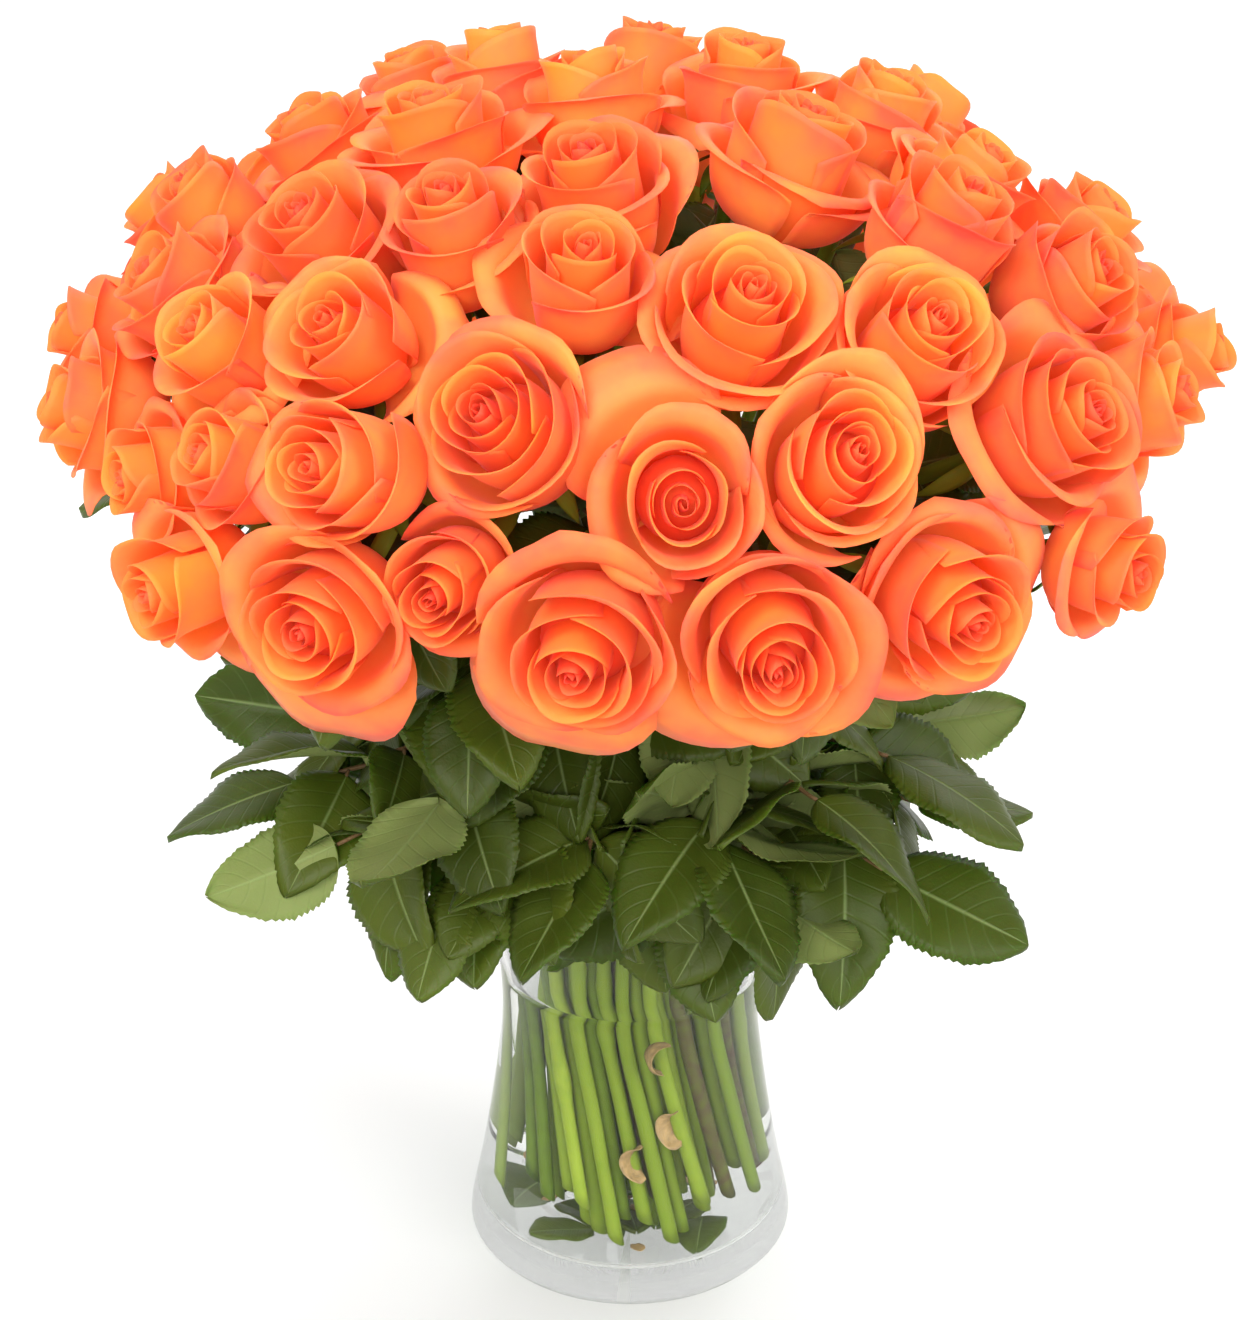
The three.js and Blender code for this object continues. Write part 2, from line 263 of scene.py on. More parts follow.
# %% [markdown]
# ## Measuring the frame
# Each rose in the frame is a faceted goblet on a bent five-sided bar. The tip of the goblet's crown is
# the one corner that eight equally long edges meet, so it is found by counting edges. The crown's ring of
# corners gives the way the bloom faces, and its widest ring gives the width. The bar is walked ring by
# ring from its cut end, and the middles of the rings are the stem's line.

# %% Measure the roses
WIDEST_AT = 0.34  # depth of a goblet's widest ring below its crown, as a share of its height
STEM_CORNERS = 5
STEM_RING = 0.008  # a ring of corners wider than this is no longer the stem
CROWN_CORNERS = 8
CROWN_EDGE = 0.01  # the crown's edges are longer than this
BLOOM_DEPTH, BLOOM_REACH = 0.03, 0.04  # how far down and how far out to look for the widest ring
CLEAR_OF_BLOOM = 0.012  # the stem's line stops this far below the bloom's base


def welded(node):
    """A node's corners, each once, and for each corner the corners that an edge joins it to."""
    mesh = bmesh.new()
    mesh.from_mesh(nodes[node].data)
    bmesh.ops.remove_doubles(mesh, verts=mesh.verts, dist=1e-5)
    mesh.verts.index_update()
    points = np.array([v.co for v in mesh.verts])
    links = [[e.other_vert(v).index for e in v.link_edges] for v in mesh.verts]
    mesh.free()
    return points, links


def unit(vector):
    """The same direction with a length of one."""
    return vector / np.linalg.norm(vector)


def crown_of(points, links):
    """The corner where the goblet's crown comes together."""
    for corner, ends in enumerate(links):
        lengths = np.linalg.norm(points[ends] - points[corner], axis=1)
        alike = np.ptp(lengths) < 0.02 * lengths.mean()
        if len(ends) == CROWN_CORNERS and lengths.min() > CROWN_EDGE and alike:
            return corner
    raise ValueError("no crown found")


def stem_line(points, links):
    """Middles of the stem's rings of corners, from its cut end up to where they meet the goblet."""
    ring = list(np.argsort(points[:, 2])[:STEM_CORNERS])
    seen, line = set(ring), []
    while len(ring) == STEM_CORNERS and np.ptp(points[ring], axis=0).max() < STEM_RING:
        line.append(points[ring].mean(axis=0))
        ring = sorted({end for corner in ring for end in links[corner]} - seen)
        seen.update(ring)
    return line


def measured_rose(node):
    """Name, facing, width, height, base, heart and stem line of one rose of the frame."""
    points, links = welded(node)
    crown = crown_of(points, links)
    ring = points[links[crown]]
    normal = np.linalg.svd(ring - ring.mean(axis=0))[2][2]
    face = normal * np.sign(normal @ (points[crown] - ring.mean(axis=0)))
    depth = (points[crown] - points) @ face
    reach = np.linalg.norm(points - points[crown] + depth[:, None] * face, axis=1)
    near = (depth < BLOOM_DEPTH) & (reach < BLOOM_REACH)
    widest = np.argmax(np.where(near, reach, 0))
    height = depth[widest] / WIDEST_AT
    base = points[crown] - height * face
    line = stem_line(points, links)
    while np.linalg.norm(line[-1] - base) < CLEAR_OF_BLOOM:
        line.pop()
    return {"name": node, "face": face, "width": 2 * reach[widest], "height": height, "base": base,
            "heart": base + face * height / 2, "line": np.array(line + [base])}


roses = [measured_rose(name) for name in sorted(nodes) if name.startswith("rose_")]
widths = [rose["width"] for rose in roses]
print("roses:", len(roses), "widths:", round(min(widths), 4), "to", round(max(widths), 4))

# %% [markdown]
# ## From grids to thin solids
# Petals, sepals and leaves are all thin sheets. Each one is worked out as a grid of points across and
# along its middle surface, and one helper gives it two sides and a rim. The helper also writes down, at
# every point, where it is on the sheet, so that a material can colour the base, the tip and the margins
# differently.

# %% Thin sheets
class Heap:
    """Collects points, faces and marks of many small shapes, and becomes one mesh."""

    def __init__(self):
        self.points, self.faces, self.marks, self.tones, self.count = [], [], [], [], 0

    def add(self, points, marks, tone, *faces):
        """Adds one shape, whose faces count its own points from 0."""
        self.points.append(points)
        for some in faces:
            self.faces.extend((some + self.count).tolist())
        self.marks.append(marks)
        self.tones.append(np.full(len(points), tone))
        self.count += len(points)

    def piece(self, name, material, slot, *replaced):
        """One smooth-shaded object that rides on the root body."""
        mesh = bpy.data.meshes.new(name)
        mesh.from_pydata(np.concatenate(self.points).tolist(), [], self.faces)
        place = mesh.attributes.new("place", "FLOAT_COLOR", "POINT")
        place.data.foreach_set("color", np.concatenate(self.marks).astype(np.float32).ravel())
        tone = mesh.attributes.new("tone", "FLOAT", "POINT")
        tone.data.foreach_set("value", np.concatenate(self.tones).astype(np.float32))
        mesh.shade_smooth()
        mesh.materials.append(material)
        made = shown(name, mesh)
        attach(made, "root")
        if replaced:
            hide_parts(*replaced)
        return made


sheet_faces_made = {}


def sheet_faces(rows, columns):
    """Faces of a two-sided sheet whose first half of points is its upper side."""
    if (rows, columns) not in sheet_faces_made:
        index = np.arange(rows * columns).reshape(rows, columns)
        corners = [index[:-1, :-1], index[1:, :-1], index[1:, 1:], index[:-1, 1:]]
        upper = np.stack(corners, axis=-1).reshape(-1, 4)
        lower = upper[:, ::-1] + rows * columns
        border = np.concatenate([index[0, :-1], index[:-1, -1], index[-1, :0:-1], index[:0:-1, 0]])
        after = np.roll(border, -1)
        rim = np.stack([border, after, after + rows * columns, border + rows * columns], axis=-1)
        sheet_faces_made[rows, columns] = np.concatenate([upper, lower, rim])
    return sheet_faces_made[rows, columns]


def add_sheet(heap, grid, thickness, layer, tone):
    """Adds a grid of points, as [along][across], as a sheet of that thickness with thinner margins."""
    rows, columns = grid.shape[:2]
    normal = np.cross(np.gradient(grid, axis=0), np.gradient(grid, axis=1))
    normal /= np.maximum(np.linalg.norm(normal, axis=2, keepdims=True), 1e-12)
    across, along = np.meshgrid(np.linspace(0, 1, columns), np.linspace(0, 1, rows))
    edge = np.clip(np.minimum(np.minimum(across, 1 - across) * 8, (1 - along) * 8), 0, 1)
    half = (thickness * (0.35 + 0.65 * edge) / 2)[..., None] * normal
    points = np.concatenate([(grid + half).reshape(-1, 3), (grid - half).reshape(-1, 3)])
    one_side = np.stack([across, along, np.full_like(across, layer)], axis=-1).reshape(-1, 3)
    upper = np.concatenate([one_side, np.ones((rows * columns, 1))], axis=1)
    lower = np.concatenate([one_side, np.zeros((rows * columns, 1))], axis=1)
    heap.add(points, np.concatenate([upper, lower]), tone, sheet_faces(rows, columns))


def smooth_line(points, count):
    """count points on a smooth curve through the given ones."""
    points = np.asarray(points, float)
    padded = np.concatenate([[2 * points[0] - points[1]], points, [2 * points[-1] - points[-2]]])
    place = np.linspace(0, len(points) - 1, count)
    first = np.minimum(place.astype(int), len(points) - 2)
    t = (place - first)[:, None]
    a, b, c, d = (padded[first + k] for k in range(4))
    square, cube = 2 * a - 5 * b + 4 * c - d, 3 * b - a - 3 * c + d
    return 0.5 * (2 * b + (c - a) * t + square * t**2 + cube * t**3)


def round_faces(rings, sides):
    """Walls, first cap and last cap of a round bar. Its last two points close its first and its last ring."""
    index = np.arange(rings * sides).reshape(rings, sides)
    after = np.roll(index, -1, axis=1)
    walls = np.stack([index[:-1], after[:-1], after[1:], index[1:]], axis=-1).reshape(-1, 4)
    first = np.stack([np.full(sides, rings * sides), after[0], index[0]], axis=-1)
    last = np.stack([np.full(sides, rings * sides + 1), index[-1], after[-1]], axis=-1)
    return walls, first, last


def add_tube(heap, line, radii, sides, layer, tone, slant=0.0):
    """Adds a round bar along a line, closed at both ends, the first end cut at a slant."""
    line, radii = np.asarray(line), np.asarray(radii)
    along = np.gradient(line, axis=0)
    along /= np.linalg.norm(along, axis=1, keepdims=True)
    side = np.cross(along[0], [0.31, 0.92, 0.24])
    rings = []
    for k, (middle, ahead) in enumerate(zip(line, along)):
        side = unit(side - (side @ ahead) * ahead)
        other = np.cross(ahead, side)
        turn = np.linspace(0, 2 * np.pi, sides, endpoint=False)[:, None]
        rings.append(middle + radii[k] * (np.cos(turn) * side + np.sin(turn) * other))
        if k == 0:
            rings[0] += slant * radii[0] * np.cos(turn) * ahead
    points = np.concatenate([np.concatenate(rings), [line[0], line[-1]]])
    marks = np.ones((len(points), 4)) * 0.5
    marks[:-2, 1] = np.repeat(np.linspace(0, 1, len(line)), sides)
    marks[:, 2] = layer
    heap.add(points, marks, tone, *round_faces(len(line), sides))


# %% [markdown]
# ## Shader groups
# Petals, leaves and stems share three effects: a soft blotchy change of tone, fine lengthwise ribs, and a
# mask for the margins of a thin sheet. Each is a node group with named inputs, built once and placed in
# every material that needs it, because a real bouquet repeats the same structures in different strengths.

# %% Sheet place, blotches and ribs
tree, inputs, outputs = group("sheet place", {}, {
    "Margin": "NodeSocketFloat", "Along": "NodeSocketFloat", "Layer": "NodeSocketFloat",
    "Upper side": "NodeSocketFloat", "Tone": "NodeSocketFloat", "Across": "NodeSocketFloat"})
place = node(tree, "ShaderNodeAttribute", attribute_name="place")
parts = node(tree, "ShaderNodeSeparateColor", {"Color": place.outputs["Color"]})
off_middle = maths(tree, "SUBTRACT", parts.outputs[0], 0.5)
from_middle = times(tree, maths(tree, "ABSOLUTE", off_middle), 2.0)
tone = node(tree, "ShaderNodeAttribute", attribute_name="tone")
for label, socket in (("Margin", from_middle), ("Along", parts.outputs[1]), ("Layer", parts.outputs[2]),
                      ("Upper side", place.outputs["Alpha"]), ("Tone", tone.outputs["Fac"]),
                      ("Across", parts.outputs[0])):
    tree.links.new(socket, outputs.inputs[label])
sheet_place = tree

tree, inputs, outputs = group("blotches", {
    "Scale": ("NodeSocketFloat", 120.0), "Detail": ("NodeSocketFloat", 3.0),
    "Contrast": ("NodeSocketFloat", 1.0),
}, {"Mask": "NodeSocketFloat"})
where = node(tree, "ShaderNodeNewGeometry").outputs["Position"]
noise = node(tree, "ShaderNodeTexNoise", {
    "Vector": where, "Scale": inputs.outputs["Scale"], "Detail": inputs.outputs["Detail"]})
spread = times(tree, maths(tree, "SUBTRACT", noise.outputs[0], 0.5), inputs.outputs["Contrast"])
tree.links.new(maths(tree, "ADD", spread, 0.5), outputs.inputs["Mask"])
blotches = tree

tree, inputs, outputs = group("ribs", {
    "Count": ("NodeSocketFloat", 30.0), "Stretch": ("NodeSocketFloat", 0.15),
}, {"Height": "NodeSocketFloat"})
spot = use(tree, sheet_place)
count_along = times(tree, inputs.outputs["Count"], inputs.outputs["Stretch"])
lengthwise = node(tree, "ShaderNodeCombineXYZ", {
    0: times(tree, spot["Across"], inputs.outputs["Count"]),
    1: times(tree, spot["Along"], count_along),
    2: times(tree, spot["Tone"], 37.0)})
noise = node(tree, "ShaderNodeTexNoise", {"Vector": lengthwise.outputs[0], "Scale": 1.0, "Detail": 3.0})
tree.links.new(noise.outputs[0], outputs.inputs["Height"])
ribs = tree
print("shader groups:", [g.name for g in bpy.data.node_groups])

# %% [markdown]
# ## Petal finish
# A fresh orange petal is thin and velvety. Its heart is deep coral, its body orange, its foot yellow, and
# its rim pink where the bud first met the sun. Light passes through it, so the gaps between petals glow
# instead of going black. Subsurface scattering and a translucent share give that glow, and a faint painted
# red glow (a weak emission) lifts the shaded gaps further. A faint sheen gives the velvet, and the ribs a
# fine lengthwise grain.

# %% Petal material
petal_material, shader = principled("velvet_petal")
tree = petal_material.node_tree
spot = use(tree, sheet_place)
body = ramp(tree, spot["Layer"], (0.0, (0.93, 0.09, 0.05)), (0.22, (0.97, 0.17, 0.052)),
            (0.45, (1.0, 0.31, 0.045)), (0.8, (1.0, 0.38, 0.075)))
foot = ramp(tree, spot["Along"], (0.1, (1, 1, 1)), (0.62, (0, 0, 0)))
yellowed = blend(tree, times(tree, foot, 0.36), body, (1.0, 0.52, 0.14, 1))
lip = ramp(tree, spot["Along"], (0.62, (0, 0, 0)), (0.84, (1, 1, 1)), (0.97, (0.2, 0.2, 0.2)))
inner = times(tree, times(tree, lip, spot["Upper side"]), 0.5)
peach = blend(tree, inner, yellowed, (1.0, 0.46, 0.14, 1))
tip = ramp(tree, spot["Along"], (0.78, (0, 0, 0)), (1.0, (1, 1, 1)))
side = ramp(tree, spot["Margin"], (0.75, (0, 0, 0)), (1.0, (1, 1, 1)))
blush = maths(tree, "MAXIMUM", tip, times(tree, side, 0.8))
patches = use(tree, blotches, Scale=45.0, Contrast=2.4)["Mask"]
lower_side = maths(tree, "SUBTRACT", 1.0, spot["Upper side"])
back = maths(tree, "ADD", 0.35, times(tree, lower_side, 0.5))
old = ramp(tree, spot["Layer"], (0.35, (0.15, 0.15, 0.15)), (0.75, (1, 1, 1)))
share = times(tree, times(tree, old, patches), maths(tree, "ADD", blush, back))
pink = node(tree, "ShaderNodeClamp", {0: times(tree, share, 0.95)}).outputs[0]
blushed = blend(tree, pink, peach, (1.0, 0.19, 0.1, 1))
shade = maths(tree, "ADD", 0.94, times(tree, spot["Tone"], 0.14))
hue = maths(tree, "ADD", 0.492, times(tree, spot["Tone"], 0.022))
toned = node(tree, "ShaderNodeHueSaturation", {"Color": blushed, "Value": shade, "Hue": hue})
tree.links.new(toned.outputs[0], shader.inputs["Base Color"])
grain = use(tree, ribs, Count=26.0)["Height"]
raise_surface(tree, shader, grain, 0.18, 0.0005)
# The weak red emission is painted light: a glow that lifts the shaded gaps between the petals.
settle(shader, {
    "Roughness": 0.55, "Specular IOR Level": 0.2, "Sheen Weight": 0.12, "Sheen Roughness": 0.4,
    "Emission Color": (1.0, 0.13, 0.03, 1), "Emission Strength": 0.06,
    "Subsurface Weight": 0.15, "Subsurface Radius": (1.0, 0.35, 0.15), "Subsurface Scale": 0.003})
LIGHT_THROUGH_PETAL = 0.45
show_mixed(tree, LIGHT_THROUGH_PETAL, shader, "ShaderNodeBsdfTranslucent", toned.outputs[0])

# %% [markdown]
# ## Growing a bloom
# A rose is a spiral: each petal stands about 137 degrees round from the last and a little further out.
# The young ones at the heart are rolled tight and lean in, the middle ones stand as a cup, and the old
# outer ones lean out and roll their margins back. So one function draws a petal from its age, and a table
# of a few ages gives how far out its lip is, how high, how full its belly and how wide it is, as shares
# of the bloom's width and height.

# %% One petal
PETAL_ROWS, PETAL_COLUMNS = 16, 19
PETAL_THICKNESS = 0.00036
AGE = [0.0, 0.15, 0.3, 0.45, 0.6, 0.8, 1.0]  # from the innermost petal to the outermost
LIP_RADIUS = [0.012, 0.05, 0.10, 0.16, 0.24, 0.38, 0.58]
LIP_HEIGHT = [0.93, 0.945, 0.97, 1.0, 0.99, 0.90, 0.74]
BELLY = [0.09, 0.13, 0.19, 0.26, 0.34, 0.42, 0.46]  # how far out the petal bulges below its lip
HALF_WIDTH = [0.10, 0.13, 0.20, 0.30, 0.42, 0.54, 0.62]
ROLL_BACK = [0.0, 0.012, 0.03, 0.055, 0.08, 0.13, 0.18]
SPIRAL = [0.35, 0.18, 0.10, 0.07, 0.06, 0.05, 0.04]  # how much one margin stands outside the other
GOLDEN_TURN = math.radians(137.5)
FREE_FROM = 0.70  # room, in widths, from which an outer petal starts to fall open


def petal_grid(age, turn, width, height, openness, room, handed, chance):
    """Points of one petal about the bloom's own axis, whose foot is at the origin. handed is 1 or -1."""
    tables = (LIP_RADIUS, LIP_HEIGHT, BELLY, HALF_WIDTH, ROLL_BACK, SPIRAL)
    lip, top, belly, half, roll, spiral = (np.interp(age, AGE, table) for table in tables)
    loose = np.clip((age - 0.45) / 0.55, 0, 1)
    # no two petals of one age are alike
    lip *= 1 + loose * (openness - 1) + chance.normal(0, 0.03 + 0.04 * loose)
    top *= 1 - 0.25 * loose * (openness - 1) + chance.normal(0, 0.010 + 0.03 * loose)
    roll *= openness * chance.uniform(0.7, 1.4)
    half *= chance.uniform(0.92, 1.08)
    free = loose**2 * np.clip((room / width - FREE_FROM) / 0.35, 0, 1) * chance.uniform(0.2, 1)
    lip *= 1 + 0.18 * free
    top *= 1 - 0.5 * free
    # a petal without room stays closer to the heart
    reach = (lip + roll) * width
    if reach > room:
        lip *= room / reach
        roll *= room / reach
    across, along = np.meshgrid(np.linspace(-1, 1, PETAL_COLUMNS), np.linspace(0, 1, PETAL_ROWS))
    # t runs from foot to margin, which is round, with a small point in the middle
    rounded = 0.15 + 0.13 * loose
    point = 0.045 * loose * chance.uniform(0, 1.4) * np.exp(-((across / 0.14) ** 2)) * along**6
    t = along * (1 - rounded * np.abs(across) ** 2.4) + point
    # the side view is one smooth curve from the foot over the belly to the lip
    control = [(0.05, 0.02), (belly * 1.05, 0.02), (belly + 0.35 * (lip - belly), 0.66 * top), (lip, top)]
    weights = [(1 - t) ** 3, 3 * t * (1 - t) ** 2, 3 * t**2 * (1 - t), t**3]
    radius = width * sum(w * p[0] for w, p in zip(weights, control))
    rise = height * sum(w * p[1] for w, p in zip(weights, control))
    # the petal wraps round the bloom, narrow at its foot and widest below its lip
    breadth = 0.25 + 0.75 * np.sin(np.pi / 2 * np.clip(t / 0.7, 0, 1)) ** 1.1
    breadth *= 1 - 0.10 * np.clip((t - 0.75) / 0.25, 0, 1) ** 2
    angle = np.minimum(half * width * breadth / np.maximum(radius, 1e-4), 2.7)
    # the lip and the side margins roll back, and the margin waves a little
    bent = np.clip((t - 0.66) / 0.34, 0, 1.3) ** 2
    curl = roll * width * bent * (1 - 0.35 * loose + 0.7 * loose * np.abs(across) ** 1.5)
    side_roll = 0.06 * width * loose * np.clip((np.abs(across) - 0.5) / 0.5, 0, 1) ** 2 * t
    pitch = chance.uniform(1.2, 2.4)
    wave = 0.014 * width * t**3 * np.sin(np.pi * (across * pitch + chance.uniform(0, 2)))
    out = radius * (1 + handed * spiral * across) + curl + side_roll + wave * (0.3 + loose)
    up = rise - curl * (0.55 + 0.55 * loose) + wave * 0.6 - 0.25 * free * width * bent
    up += chance.normal(0, 0.03) * width * across * t**2
    bearing = turn + angle * across + chance.normal(0, 0.22 - 0.14 * loose)
    return np.stack([out * np.cos(bearing), out * np.sin(bearing), up], axis=-1)


# %% [markdown]
# In a full vase the blooms press on each other, so a petal opens only as far as its neighbours leave
# room. For each petal the room is measured towards the middles of the blooms round it. At the dome's
# lower edge nothing is in the way, and there the outer petals fall open as they do on the real bouquet.

# %% How a bloom stands among its neighbours
hearts = np.array([rose["heart"] for rose in roses])
PRESS = 0.006  # how far neighbouring petals push past each other
GROWN = 1.08  # how far a bloom's soft petals reach past the plain solid that stands for it
NOD = 0.09  # how far, in radians, a bloom nods to a side
LEAN = 0.035  # how far a bloom's heart stands off its axis, in widths
OVAL = 0.09  # how far a bloom is from round
TIGHT_HEART = 1.2  # above 1, more of the petals stand close round the heart
LARGE_WIDTH = 0.05  # wider blooms are more open and have more petals
BLOOM_SEED = 100


def axes_of(face):
    """Two directions square to the way a bloom faces."""
    side = unit(np.cross(face, [0, 0, 1.0] if abs(face[2]) < 0.95 else [0, 1.0, 0]))
    return side, np.cross(face, side)


def room_towards(index, direction):
    """How far a petal may reach in a direction before it meets the next bloom."""
    away = np.delete(hearts, index, axis=0) - hearts[index]
    other = np.delete(np.array(widths), index)
    ahead = away @ direction
    aside = np.linalg.norm(away - ahead[:, None] * direction, axis=1)
    blocked = (ahead > 0) & (aside < other * 0.55)
    return min(np.where(blocked, ahead - other * 0.45, 1.0).min() + PRESS, 1.0)


# %% The heart of a bloom
CORE = [(0.05, 0.05), (0.26, 0.25), (0.27, 0.5), (0.19, 0.66), (0.10, 0.78), (0.03, 0.86)]
CORE_SIDES = 16
CORE_POINTS = 14


def add_core(heap, rose, basis):
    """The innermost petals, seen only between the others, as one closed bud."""
    line = np.array([[0, 0, z * rose["height"]] for r, z in CORE]) @ basis + rose["base"]
    line = smooth_line(line, CORE_POINTS)
    radii = smooth_line([(r * rose["width"], 0) for r, z in CORE], CORE_POINTS)[:, 0]
    add_tube(heap, line, radii, CORE_SIDES, 0.05, 0.5)


# %% Grow the blooms
def grow_bloom(index, rose):
    """One rose's petals, from the heart outwards, as one piece."""
    chance = np.random.default_rng(BLOOM_SEED + index)
    side, other = axes_of(rose["face"])
    basis = np.stack([side, other, rose["face"]])
    large = rose["width"] > LARGE_WIDTH
    openness = chance.uniform(1.02, 1.24) if large else chance.uniform(0.78, 1.12)
    count = chance.integers(18, 21) if large else chance.integers(15, 18)
    handed = chance.choice([-1, 1])
    oval, oval_at = chance.uniform(0, OVAL), chance.uniform(0, np.pi)
    width = rose["width"] * GROWN
    height = rose["height"] * GROWN * (1 + 0.5 * max(1 - openness, 0))
    nod, swing = (Matrix.Rotation(chance.normal(0, NOD), 3, Vector(axis)) for axis in (side, other))
    basis = basis @ np.array(nod @ swing).T
    lean = chance.normal(0, LEAN * rose["width"], 2)
    heap = Heap()
    start = chance.uniform(0, 2 * np.pi)
    ripeness = chance.uniform()
    for k in range(count):
        age = (k / (count - 1)) ** TIGHT_HEART
        turn = start + handed * k * GOLDEN_TURN
        direction = math.cos(turn) * side + math.sin(turn) * other
        room = room_towards(index, direction)
        local = petal_grid(age, turn, width, height, openness, room, handed, chance)
        bearing = np.arctan2(local[..., 1], local[..., 0])
        local[..., :2] *= 1 + oval * np.cos(2 * (bearing - oval_at))[..., None]
        local[..., :2] += lean * (1 - age) * np.clip(local[..., 2:] / height, 0, 1)
        grid = rose["base"] + local @ basis
        tone = 0.6 * ripeness + 0.4 * chance.uniform()
        add_sheet(heap, grid, PETAL_THICKNESS, age, tone)
    add_core(heap, rose, basis)
    return heap.piece(rose["name"] + "_bloom", petal_material, "petals", rose["name"])


blooms = [grow_bloom(index, rose) for index, rose in enumerate(roses)]
print("blooms:", len(blooms), "faces each:", len(blooms[0].data.polygons))

# %% [markdown]
# ## Green finish
# Stems, sepals and leaves are the same living green, darkest and glossiest on the upper side of a leaf,
# paler below, and yellower on a young stem. The leaf's pale midrib and side ribs come from its own grid,
# where the side ribs are lines that run out and forward from the midrib.

# %% Leaf ribs
tree, inputs, outputs = group("leaf ribs", {
    "Pairs": ("NodeSocketFloat", 8.0), "Slant": ("NodeSocketFloat", 0.22), "Width": ("NodeSocketFloat", 0.1),
}, {"Midrib": "NodeSocketFloat", "Side ribs": "NodeSocketFloat"})
spot = use(tree, sheet_place)
midrib = mapped(tree, spot["Margin"], 0.01, 0.05, 1.0, 0.0)
slanted = times(tree, spot["Margin"], inputs.outputs["Slant"])
forward = maths(tree, "SUBTRACT", spot["Along"], slanted)
phase = maths(tree, "FRACT", times(tree, forward, inputs.outputs["Pairs"]))
from_line = maths(tree, "ABSOLUTE", maths(tree, "SUBTRACT", phase, 0.5))
side_rib = mapped(tree, from_line, 0.0, inputs.outputs["Width"], 1.0, 0.0)
tree.links.new(midrib, outputs.inputs["Midrib"])
tree.links.new(side_rib, outputs.inputs["Side ribs"])
leaf_ribs = tree

# %% Leaf material
leaf_material, shader = principled("rose_leaf")
tree = leaf_material.node_tree
spot = use(tree, sheet_place)
veins = use(tree, leaf_ribs)
dark = blend(tree, spot["Tone"], (0.016, 0.026, 0.0015, 1), (0.070, 0.090, 0.007, 1))
mottling = use(tree, blotches, Scale=60.0, Contrast=1.5)["Mask"]
mottled = blend(tree, mottling, dark, (0.044, 0.063, 0.006, 1))
under = blend(tree, spot["Upper side"], (0.155, 0.19, 0.055, 1), mottled)
ribbed = blend(tree, times(tree, veins["Side ribs"], 0.10), under, (0.12, 0.17, 0.05, 1))
lined = blend(tree, times(tree, veins["Midrib"], 0.55), ribbed, (0.2, 0.26, 0.09, 1))
stalk = maths(tree, "GREATER_THAN", spot["Layer"], 0.75)
coloured = blend(tree, stalk, lined, (0.13, 0.075, 0.03, 1))
tree.links.new(coloured, shader.inputs["Base Color"])
sunk = times(tree, veins["Side ribs"], -0.6)
raised = maths(tree, "SUBTRACT", sunk, veins["Midrib"])
rough = use(tree, blotches, Scale=900.0, Contrast=0.5)["Mask"]
raise_surface(tree, shader, maths(tree, "ADD", raised, rough), 0.4, 0.0005)
gloss = times(tree, spot["Upper side"], 0.2)
tree.links.new(maths(tree, "SUBTRACT", 0.62, gloss), shader.inputs["Roughness"])
settle(shader, {"Specular IOR Level": 0.17, "Subsurface Weight": 0.1, "Subsurface Radius": (0.3, 1.0, 0.1),
                "Subsurface Scale": 0.002})

# %% Stem material
OLD_STEM = 0.78  # a stem whose tone is above this has turned brown
stem_material, shader = principled("green_stem")
tree = stem_material.node_tree
spot = use(tree, sheet_place)
young = blend(tree, spot["Tone"], (0.035, 0.075, 0.002, 1), (0.33, 0.42, 0.04, 1))
old = maths(tree, "GREATER_THAN", spot["Tone"], OLD_STEM)
aged = blend(tree, old, young, (0.065, 0.034, 0.022, 1))
streaks = use(tree, blotches, Scale=220.0, Contrast=2.0)["Mask"]
streaked = blend(tree, times(tree, streaks, 0.45), aged, (0.13, 0.22, 0.012, 1))
tree.links.new(streaked, shader.inputs["Base Color"])
raise_surface(tree, shader, use(tree, ribs, Count=16.0, Stretch=0.3)["Height"], 0.3, 0.0005)
settle(shader, {"Roughness": 0.5, "Specular IOR Level": 0.1, "Subsurface Weight": 0.1,
                "Subsurface Radius": (0.4, 1.0, 0.1), "Subsurface Scale": 0.003})

# %% [markdown]
# ## Stems, cups and sepals
# A cut stem is not a plain pipe: it swells at old leaf joints, carries a few hooked thorns, is cut on the
# slant, and widens under the bloom into the green cup that holds the petals. Five long pointed sepals
# hang back from the cup. All of it grew as one, so it is one piece.

# %% Sepals, thorns and stems
STEM_RADIUS = 0.0028
CUP_RADIUS = 0.0058
CUP_LENGTH = 0.010
SEPAL_LENGTH = 0.027
SEPAL_WIDTH = 0.0036
SEPAL_THICKNESS = 0.0005
SEPALS, THORNS, JOINTS = 5, 4, 3
STEM_POINTS, STEM_SIDES = 60, 10
STEM_SEED = 500


